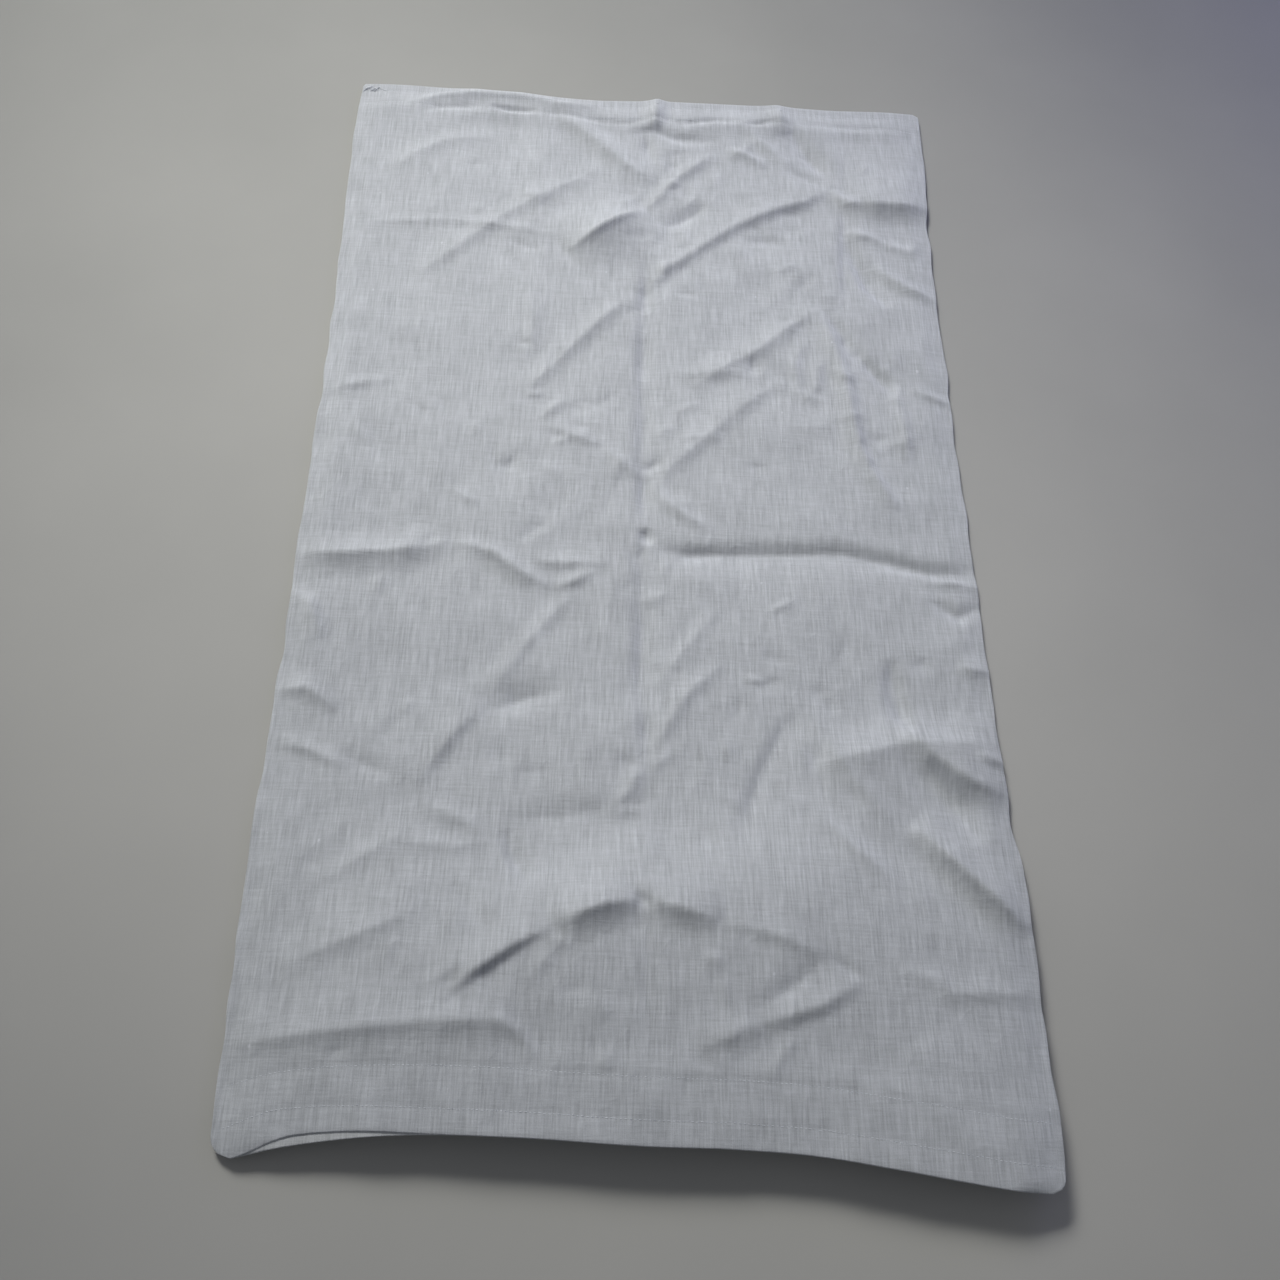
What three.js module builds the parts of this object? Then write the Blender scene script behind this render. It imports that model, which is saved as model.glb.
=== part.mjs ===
// A lined linen table runner lying on a table, its near end lifted in one soft wave.
// Millimetres. X runs across the runner, +Y points to its far end, +Z is up.
// The origin is the centre of the runner's outline, on the table.
//
// Every layer of cloth is cut from one shared lattice of points on the draped surface, and is
// lifted by whole steps of cloth and air, so layers that lie on each other never meet.
import * as THREE from 'three';
import { mergeGeometries, mergeVertices } from 'three/addons/utils/BufferGeometryUtils.js';

// Driving dimensions
const WIDTH = 450;
const LENGTH = 800;
const CLOTH = 0.5; // thickness of one layer of linen
const AIR = 0.3; // gap between layers that lie on each other
const STEP = CLOTH + AIR;
const NEAR_HEM = 37; // depth of cloth turned in at the near end
const NEAR_HEM_ROW = 35; // stitch rows, measured in from their end
const NEAR_EDGE_ROW = 13;
const FAR_HEM = 24;
const FAR_HEM_ROW = 22;
const FAR_EDGE_ROW = 7.5;
const ALLOWANCE = 10; // seam allowance inside each side seam
const TURN = 2; // the turned edge takes up this much cloth
const SETTLE = 7; // length over which the face sinks back onto the lining
const THREAD = 0.4; // diameter of the sewing thread
const CORNER_RADIUS = { nearLeft: 11, nearRight: 7, farLeft: 1, farRight: 4 };

// The drape
const CREST = 26; // height of the wave
const CREST_AT = 143; // distance of the crest from the near end
const WAVE_END = 300; // where the cloth lies flat again
const NEAR_SHARE = 0.74; // height left at the near end, as a share of the crest
const LEFT_SHARE = 0.08; // height left at the side edges, as a share of the middle
const RIGHT_SHARE = 0.3;
const HEM_LIFT = 1; // the thick hems stand this far off the table
const FAR_RIPPLE = 4; // height of the ripple in the far edge
const FAR_RIPPLE_X = -145;
const FAR_RIPPLE_WIDTH = 50;
const PULL_IN = 14; // the wave draws the middle of the near end in
const PULL_IN_HALF_WIDTH = 205;

// Lattice lines: distances in from each side and each end, then even spacing between
const SIDE_LINES = [0, TURN, ALLOWANCE, ALLOWANCE + SETTLE];
const MIDDLE_COLUMNS = 12;
const NEAR_LINES = [0, TURN, 5, NEAR_EDGE_ROW, 24, NEAR_HEM_ROW, NEAR_HEM, NEAR_HEM + SETTLE];
const FAR_LINES = [0, TURN, FAR_EDGE_ROW, 15, FAR_HEM_ROW, FAR_HEM, FAR_HEM + SETTLE];
const WAVE_ROWS = 14;
const FLAT_ROWS = 6;

const LINEN = { face: 0xdfe1e6, lining: 0xd8dadf, thread: 0xf1f2f4 };

const smooth = (t) => THREE.MathUtils.smoothstep(t, 0, 1);

function evenly(from, to, count) {
  return Array.from({ length: count - 1 }, (_, i) => from + ((to - from) * (i + 1)) / count);
}

const INNER = WIDTH - SIDE_LINES.at(-1);
const columns = [
  ...SIDE_LINES,
  ...evenly(SIDE_LINES.at(-1), INNER, MIDDLE_COLUMNS),
  ...SIDE_LINES.toReversed().map((d) => WIDTH - d),
];
const FLAT_FROM = LENGTH - FAR_LINES.at(-1);
const rows = [
  ...NEAR_LINES,
  ...evenly(NEAR_LINES.at(-1), WAVE_END, WAVE_ROWS),
  WAVE_END,
  ...evenly(WAVE_END, FLAT_FROM, FLAT_ROWS),
  ...FAR_LINES.toReversed().map((d) => LENGTH - d),
];
const LAST_COLUMN = columns.length - 1;
const LAST_ROW = rows.length - 1;
const columnAt = (distance) => columns.indexOf(distance);
const rowAt = (distance) => rows.indexOf(distance);

// How far a side edge sits inside the rectangle where a corner of this radius rounds it off
function cornerInset(radius, distance) {
  if (distance >= radius) return 0;
  return radius - Math.sqrt(radius ** 2 - (radius - distance) ** 2);
}

function sideInset(fromNear, nearRadius, farRadius) {
  return cornerInset(nearRadius, fromNear) + cornerInset(farRadius, LENGTH - fromNear);
}

function waveProfile(fromNear) {
  if (fromNear > CREST_AT) return smooth((WAVE_END - fromNear) / (WAVE_END - CREST_AT));
  return NEAR_SHARE + (1 - NEAR_SHARE) * smooth(fromNear / CREST_AT);
}

function hemLift(fromNear) {
  const near = smooth(2 - fromNear / (NEAR_HEM + SETTLE));
  const far = smooth(2 - (LENGTH - fromNear) / (FAR_HEM + SETTLE));
  return HEM_LIFT * (near + far);
}

// Height of the draped lining over the table
function drape(x, fromNear) {
  const middle = 1 - Math.min(1, (2 * x) / WIDTH) ** 2;
  const sideShare = THREE.MathUtils.lerp(LEFT_SHARE, RIGHT_SHARE, x / WIDTH + 0.5);
  const wave = CREST * waveProfile(fromNear) * (sideShare + (1 - sideShare) * middle);
  const ripple = Math.exp(-(((x - FAR_RIPPLE_X) / FAR_RIPPLE_WIDTH) ** 2));
  const farRipple = FAR_RIPPLE * ripple * smooth(1 - (LENGTH - fromNear) / (2 * FAR_HEM));
  return wave + farRipple + hemLift(fromNear);
}

// The lattice point of one column and row, on the underside of the lining
function latticePoint(column, row) {
  const fromNear = rows[row];
  const { nearLeft, nearRight, farLeft, farRight } = CORNER_RADIUS;
  const left = -WIDTH / 2 + sideInset(fromNear, nearLeft, farLeft);
  const right = WIDTH / 2 - sideInset(fromNear, nearRight, farRight);
  const x = THREE.MathUtils.lerp(left, right, columns[column] / WIDTH);
  const pull = PULL_IN * Math.sqrt(Math.max(0, 1 - (x / PULL_IN_HALF_WIDTH) ** 2));
  const y = fromNear - LENGTH / 2 + pull * smooth(1 - fromNear / WAVE_END);
  return new THREE.Vector3(x, y, drape(x, fromNear));
}

// Steps that each layer lies above the lining's underside
const onLining = () => 0;
const liningTurned = () => 1;
const faceTurned = () => 2;

function onFace(column, row) {
  const overAllowance = column <= columnAt(ALLOWANCE) || column >= columnAt(WIDTH - ALLOWANCE);
  const overHem = row <= rowAt(NEAR_HEM) || row >= rowAt(LENGTH - FAR_HEM);
  return overAllowance || overHem ? 3 : 1;
}

// A closed sheet of cloth over a block of the lattice: its top, its underside and its rim
function sheetGeometry(from, to, level) {
  const across = to.column - from.column;
  const along = to.row - from.row;
  const top = new THREE.PlaneGeometry(1, 1, across, along);
  const underside = top.clone();
  const index = underside.index;
  for (let k = 0; k < index.count; k += 3) {
    const second = index.getX(k + 1);
    index.setX(k + 1, index.getX(k + 2));
    index.setX(k + 2, second);
  }
  const place = (geometry, k, i, j, thickness) => {
    const column = from.column + i;
    const row = from.row + j;
    const point = latticePoint(column, row);
    const height = point.z + level(column, row) * STEP + thickness;
    geometry.attributes.position.setXYZ(k, point.x, point.y, height);
  };
  for (let k = 0; k < top.attributes.position.count; k += 1) {
    const i = k % (across + 1);
    const j = along - Math.floor(k / (across + 1));
    place(top, k, i, j, CLOTH);
    place(underside, k, i, j, 0);
  }
  const outline = [];
  for (let i = 0; i < across; i += 1) outline.push([i, 0]);
  for (let j = 0; j < along; j += 1) outline.push([across, j]);
  for (let i = across; i > 0; i -= 1) outline.push([i, along]);
  for (let j = along; j > 0; j -= 1) outline.push([0, j]);
  const count = outline.length;
  const rim = new THREE.PlaneGeometry(1, 1, count, 1);
  for (let k = 0; k <= count; k += 1) {
    const [i, j] = outline[k % count];
    place(rim, k, i, j, CLOTH);
    place(rim, count + 1 + k, i, j, 0);
  }
  const sheets = [top, underside, rim];
  sheets.forEach((geometry) => geometry.deleteAttribute('normal').deleteAttribute('uv'));
  return mergeVertices(mergeGeometries(sheets));
}

// A thread along a list of points, as a thin hexagonal rod with one joint at each point
function threadGeometry(path) {
  const last = path.length - 1;
  const rod = new THREE.CylinderGeometry(THREAD / 2, THREAD / 2, last, 6, last);
  rod.deleteAttribute('normal').deleteAttribute('uv');
  const geometry = mergeVertices(rod);
  const position = geometry.attributes.position;
  const alongX = Math.abs(path[last].x - path[0].x) > Math.abs(path[last].y - path[0].y);
  for (let k = 0; k < position.count; k += 1) {
    const point = path[Math.round(position.getY(k) + last / 2)];
    const beside = position.getX(k);
    const above = position.getZ(k);
    const x = alongX ? point.x : point.x + beside;
    const y = alongX ? point.y - beside : point.y;
    position.setXYZ(k, x, y, point.z + above);
  }
  return geometry;
}

const runner = new THREE.Group();

function add(name, geometry, color) {
  const material = new THREE.MeshStandardMaterial({ color, roughness: 0.95, metalness: 0 });
  const mesh = new THREE.Mesh(geometry, material);
  mesh.name = name;
  runner.add(mesh);
}

function block(fromColumn, fromRow, toColumn, toRow) {
  return [
    { column: fromColumn, row: fromRow },
    { column: toColumn, row: toRow },
  ];
}

function addPanels() {
  const whole = block(0, 0, LAST_COLUMN, LAST_ROW);
  add('lining_panel', sheetGeometry(...whole, onLining), LINEN.lining);
  add('face_panel', sheetGeometry(...whole, onFace), LINEN.face);
}

// The turned-in ends run from just inside one side edge to just inside the other
function addHems() {
  const left = columnAt(TURN);
  const right = columnAt(WIDTH - TURN);
  const near = block(left, rowAt(TURN), right, rowAt(NEAR_HEM));
  const far = block(left, rowAt(LENGTH - FAR_HEM), right, rowAt(LENGTH - TURN));
  add('lining_near_hem', sheetGeometry(...near, liningTurned), LINEN.lining);
  add('face_near_hem', sheetGeometry(...near, faceTurned), LINEN.face);
  add('lining_far_hem', sheetGeometry(...far, liningTurned), LINEN.lining);
  add('face_far_hem', sheetGeometry(...far, faceTurned), LINEN.face);
}

// The seam allowances fill the side edges between the two hems
function addAllowances() {
  const start = rowAt(NEAR_HEM) + 1;
  const end = rowAt(LENGTH - FAR_HEM) - 1;
  const sides = {
    left: block(columnAt(TURN), start, columnAt(ALLOWANCE), end),
    right: block(columnAt(WIDTH - ALLOWANCE), start, columnAt(WIDTH - TURN), end),
  };
  for (const [side, area] of Object.entries(sides)) {
    add(`lining_${side}_allowance`, sheetGeometry(...area, liningTurned), LINEN.lining);
    add(`face_${side}_allowance`, sheetGeometry(...area, faceTurned), LINEN.face);
  }
}

// Each row of lockstitch has its needle thread on the face and its bobbin thread on the back
function addStitchRows() {
  const stitchRows = {
    near_hem: NEAR_HEM_ROW,
    near_edge: NEAR_EDGE_ROW,
    far_edge: LENGTH - FAR_EDGE_ROW,
    far_hem: LENGTH - FAR_HEM_ROW,
  };
  const reach = AIR + THREAD / 2;
  for (const [name, distance] of Object.entries(stitchRows)) {
    const row = rowAt(distance);
    const needle = [];
    const bobbin = [];
    for (let column = columnAt(TURN); column <= columnAt(WIDTH - TURN); column += 1) {
      const point = latticePoint(column, row);
      const faceTop = onFace(column, row) * STEP + CLOTH;
      needle.push(point.clone().setZ(point.z + faceTop + reach));
      bobbin.push(point.clone().setZ(point.z - reach));
    }
    add(`${name}_needle_thread`, threadGeometry(needle), LINEN.thread);
    add(`${name}_bobbin_thread`, threadGeometry(bobbin), LINEN.thread);
  }
}

// The side seams' threads run inside the edge, between the two panels
function addSeamThreads() {
  const middle = (3 * STEP + CLOTH) / 2;
  const first = rowAt(NEAR_HEM) + 1;
  const last = rowAt(LENGTH - FAR_HEM) - 1;
  for (const [side, edge, inner] of [['left', 0, 1], ['right', LAST_COLUMN, LAST_COLUMN - 1]]) {
    const path = [];
    for (let row = first; row <= last; row += 1) {
      const point = latticePoint(edge, row).lerp(latticePoint(inner, row), 0.5);
      path.push(point.setZ(point.z + middle));
    }
    add(`${side}_seam_thread`, threadGeometry(path), LINEN.thread);
  }
}

// A few darning stitches close the worn far-left corner, lying on the face
function addCornerDarn() {
  const STITCHES = 7;
  const path = [];
  for (let k = 0; k <= STITCHES; k += 1) {
    const point = latticePoint(columnAt(TURN), rowAt(LENGTH - FAR_EDGE_ROW));
    point.x += 2 + 2 * k;
    point.y += k % 2 ? 4 : 1.5;
    point.z = drape(point.x, point.y + LENGTH / 2) + 3 * STEP + CLOTH + AIR + THREAD;
    path.push(point);
  }
  add('corner_darn_thread', threadGeometry(path), LINEN.thread);
}

addPanels();
addHems();
addAllowances();
addStitchRows();
addSeamThreads();
addCornerDarn();

export default runner;
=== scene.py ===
"""A lined linen table runner, lying creased on a table with its near end lifted in a soft wave.

The cloth is worked out in millimetres on a flat lattice (across from the left edge, along from
the near end), laid into its outline on the table and given its height by one broad wave, the
creases and a fine crumple. Everything is turned into metres when its mesh is made.
"""
import math

import bpy
import numpy as np
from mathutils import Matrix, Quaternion, Vector


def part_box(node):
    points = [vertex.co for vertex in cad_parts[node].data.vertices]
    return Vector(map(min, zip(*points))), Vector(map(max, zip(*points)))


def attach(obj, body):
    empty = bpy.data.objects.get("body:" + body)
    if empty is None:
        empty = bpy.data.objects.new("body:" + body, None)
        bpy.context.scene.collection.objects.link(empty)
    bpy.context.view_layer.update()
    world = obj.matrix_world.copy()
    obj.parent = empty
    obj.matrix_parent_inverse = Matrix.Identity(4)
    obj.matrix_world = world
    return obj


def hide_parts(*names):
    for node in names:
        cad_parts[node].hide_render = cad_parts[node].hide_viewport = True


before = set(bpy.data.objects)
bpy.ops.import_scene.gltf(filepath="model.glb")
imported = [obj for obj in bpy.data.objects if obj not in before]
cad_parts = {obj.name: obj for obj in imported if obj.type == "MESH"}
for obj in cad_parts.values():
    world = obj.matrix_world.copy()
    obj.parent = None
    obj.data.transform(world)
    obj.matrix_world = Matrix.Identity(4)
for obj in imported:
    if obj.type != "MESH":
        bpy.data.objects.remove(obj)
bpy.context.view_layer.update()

MM = 0.001

# ---------------------------------------------------------------- sizes, mm


def box_mm(node):
    """The lowest and highest corners of a CAD node."""
    low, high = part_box(node)
    return np.array(low) / MM, np.array(high) / MM


LOW, HIGH = box_mm("face_panel")
LINING_LOW, LINING_HIGH = box_mm("lining_panel")
TABLE = LINING_LOW[2]
WIDTH = HIGH[0] - LOW[0]
LENGTH = HIGH[1] - LOW[1]
NEAR = LOW[1]
CENTRE_X = (HIGH[0] + LOW[0]) / 2
CLOTH = 0.5             # thickness of the CAD's cloth
CREST = LINING_HIGH[2] - CLOTH

NEAR_HEM = 37           # cloth turned in at the near end
FAR_HEM = 24            # and at the far end
ALLOWANCE = 10          # and at each side
# Rows of stitching, by their distance from the near end
ROWS = {"near_hem": 35, "near_edge": 13, "far_edge": LENGTH - 7.5, "far_hem": LENGTH - 22}
GROOVE_DEPTH = 0.3      # how far each row pulls the face down
GROOVE_WIDTH = 1.9      # about a third of that is left so far to each side

# The stack of cloth: one open surface stands for each layer
FOLD_RADIUS = 0.42      # of a turned edge
LAYER_GAP = 0.75        # face over lining where nothing is turned in
HEM_GAP = 1.95          # face over lining where both are turned in
LATTICE = 2.05          # spacing of the lattice lines

rng = np.random.default_rng(7)


# ---------------------------------------------------------------- small maths


NOISE_CELLS = 96        # the noise repeats after this many features
NOISE_START = 40        # the cell that x = 0 and y = 0 fall in


def smooth(t):
    """From 0 to 1 with no corner at either end."""
    t = np.clip(t, 0, 1)
    return t * t * (3 - 2 * t)


def curve(points, at):
    """A smooth line through a few points: cubic Hermite with slopes from the neighbours."""
    px, py = np.array(points, float).T
    slope = np.gradient(py, px)
    k = np.clip(np.searchsorted(px, at) - 1, 0, len(px) - 2)
    step = px[k + 1] - px[k]
    t = np.clip((at - px[k]) / step, 0, 1)
    rise = py[k] + (py[k + 1] - py[k]) * t * t * (3 - 2 * t)
    bend = slope[k] * (t**3 - 2 * t**2 + t) + slope[k + 1] * (t**3 - t**2)
    return rise + bend * step


def noise(x, y, size, seed, stretch=1.0):
    """Smooth seeded noise from -1 to 1, with features of about the given size."""
    cells = np.random.default_rng(seed).uniform(-1, 1, (NOISE_CELLS + 1, NOISE_CELLS + 1))
    u = x / size + NOISE_START
    v = y / (size * stretch) + NOISE_START
    i, j = np.floor(u).astype(int), np.floor(v).astype(int)
    a, b = smooth(u - i), smooth(v - j)
    i, j = i % NOISE_CELLS, j % NOISE_CELLS
    low = cells[i, j] * (1 - a) + cells[i + 1, j] * a
    high = cells[i, j + 1] * (1 - a) + cells[i + 1, j + 1] * a
    return low * (1 - b) + high * b


# ---------------------------------------------------------------- outline, mm

# How far each side edge lies to the right of its straight line, going up from the near end
LEFT_EDGE = [(0, -3), (25, -4), (60, -4), (150, -5), (225, -5), (275, -4), (325, -3), (400, -4),
             (500, -3), (600, -4), (700, -6), (775, -6.5), (800, -5)]
RIGHT_EDGE = [(0, 0), (30, 1), (75, 0.5), (130, 2), (165, 1), (200, -2), (250, -3), (300, -5),
              (400, -6), (450, -8), (550, -8.5), (650, -10), (710, -9), (730, -7), (800, -6)]
# How far each end lies up from its straight line, going right from the left edge
NEAR_EDGE = [(0, 4), (25, 9), (55, 13), (100, 16), (150, 15.5), (225, 12), (280, 11), (320, 8.5),
             (360, 3), (400, -3), (430, -7), (450, -8)]
FAR_EDGE = [(0, 3), (25, 4.5), (70, 4), (120, 2), (190, -1), (225, 1), (260, 2), (330, 3),
            (380, 2.5), (430, 4), (450, 3)]
NEAR_EDGE_FADE = 300    # each end's shape has faded out this far into the cloth
FAR_EDGE_FADE = 200
CORNER_RADIUS = {"near_left": 12, "near_right": 8, "far_left": 1.5, "far_right": 5}
RIPPLE_SIZE = 20        # of the small waves along the side edges


def corner_inset(radius, distance):
    """How far a side edge stands in at a distance from a rounded corner's end."""
    reach = np.clip(radius - distance, 0, radius)
    return radius - np.sqrt(radius**2 - reach**2)


def edge_ripple(along, seed):
    """Small waves of a side edge, up to 1 mm to each side."""
    return noise(0 * along, along, RIPPLE_SIZE, seed)


def outline(across, along):
    """The place on the table of each lattice point."""
    left = LOW[0] + curve(LEFT_EDGE, along) + edge_ripple(along, 18)
    left += corner_inset(CORNER_RADIUS["near_left"], along)
    left += corner_inset(CORNER_RADIUS["far_left"], LENGTH - along)
    right = HIGH[0] + curve(RIGHT_EDGE, along) + edge_ripple(along, 19)
    right -= corner_inset(CORNER_RADIUS["near_right"], along)
    right -= corner_inset(CORNER_RADIUS["far_right"], LENGTH - along)
    x = left + (right - left) * across / WIDTH
    near = curve(NEAR_EDGE, across) * smooth(1 - along / NEAR_EDGE_FADE)
    far = curve(FAR_EDGE, across) * smooth(1 - (LENGTH - along) / FAR_EDGE_FADE)
    return x, NEAR + along + near + far


# ---------------------------------------------------------------- the drape, mm

REST_HEIGHT = 4.2       # how far the creased cloth floats over the table on its own stiffness
EDGE_SHARE = 0.4        # of it, and of the crumple, that is left at the side and far edges
EDGE_REACH = 26         # how far from an edge that loss begins
LOWEST = 0.25           # the cloth never hangs lower over the table than this
LANDING = 2             # how sharply it stops there
SETTLE = 16             # length over which the face sinks onto the lining beside a turned hem

CREASE_ROOM = 2.5       # height kept free over the wave for the creases
CREST_AT = 143          # the wave's crest in the middle, from the near end
STEEP_END = 198         # the far side of the wave falls steeply to here
WAVE_END = 330          # and gently to here, where the cloth lies flat again
STEEP_SHARE = 0.66      # of the whole fall, on the steep part
STEEP_MIDDLE = -15      # x where the steep side is shortest
STEEP_REST = 20         # it stays that short this far to both sides
STEEP_REACH = 130       # and is at its longest this much further out
STEEP_GROWTH = 1.4      # by which it is then longer, as a share
NEAR_SHARE = 0.74       # height left at the near end, as a share of the crest
LEFT_SHARE = 0.08       # height left at the side edges, as a share of the middle
RIGHT_SHARE = 0.30
SIDE_SHARPNESS = 2.4    # how late the height falls off towards the side edges
# How the crest bows towards the near end: so far, at this distance from the middle, this sharply
LEFT_BOW = (55, 108, 1.6)
RIGHT_BOW = (26, 100, 1.4)
MOST_BOW = 60           # where the bow levels off
CORNER_LIFT = 6.5       # how much the near right corner curls up
CORNER_START = 70       # x where the curl begins
CORNER_ACROSS = 150     # how far it grows from there
CORNER_ALONG = 110      # how far from the near end it begins


def bow(x, depth, distance, sharpness):
    """How far the crest bows at x, before it levels off."""
    return depth * np.abs(x / distance) ** sharpness


def wave(x, y):
    """One soft wave across the near end, its crest bowed and the near right corner curled up."""
    crest_bow = np.where(x < 0, bow(x, *LEFT_BOW), bow(x, *RIGHT_BOW))
    from_near = y - NEAR + MOST_BOW * np.tanh(crest_bow / MOST_BOW)
    reach = 1 + STEEP_GROWTH * smooth((np.abs(x - STEEP_MIDDLE) - STEEP_REST) / STEEP_REACH)
    steep = smooth((CREST_AT + (STEEP_END - CREST_AT) * reach - from_near)
                   / ((STEEP_END - CREST_AT) * reach))
    gentle = smooth((WAVE_END - from_near) / (WAVE_END - CREST_AT))
    up = STEEP_SHARE * steep + (1 - STEEP_SHARE) * gentle
    down = NEAR_SHARE + (1 - NEAR_SHARE) * smooth(from_near / CREST_AT)
    middle = 1 - np.clip(np.abs(2 * (x - CENTRE_X) / WIDTH), 0, 1) ** SIDE_SHARPNESS
    side = LEFT_SHARE + (RIGHT_SHARE - LEFT_SHARE) * np.clip(x / WIDTH + 0.5, 0, 1)
    profile = np.where(from_near > CREST_AT, up, down)
    corner = smooth((x - CORNER_START) / CORNER_ACROSS)
    corner *= CORNER_LIFT * smooth((CORNER_ALONG - (y - NEAR)) / CORNER_ALONG)
    return (CREST - REST_HEIGHT - CREASE_ROOM) * profile * (side + (1 - side) * middle) + corner


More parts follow.
